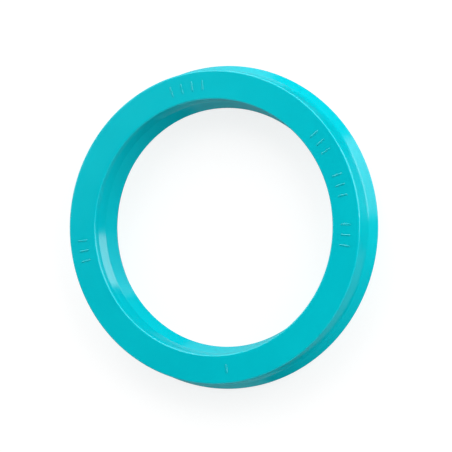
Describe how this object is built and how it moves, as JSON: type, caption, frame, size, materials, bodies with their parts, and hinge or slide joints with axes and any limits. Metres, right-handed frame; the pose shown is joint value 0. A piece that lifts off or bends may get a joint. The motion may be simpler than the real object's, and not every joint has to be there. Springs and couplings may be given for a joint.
{
  "type": "u cup seal",
  "caption": "Moulded polyurethane U cup rod seal: a ring with a solid heel and two flared sealing lips around an open groove.",
  "frame": {"origin": "on the seal's axis, in the plane of the lip tips that it rests on", "axes": "+Z along the seal's axis, from the lips to the heel face"},
  "size_m": [0.0392, 0.0392, 0.0057],
  "materials": {
    "polyurethane": "satin moulded turquoise polyurethane, slightly translucent at thin edges"
  },
  "bodies": {
    "root": {"seal_ring": "polyurethane"}
  },
  "joints": []
}
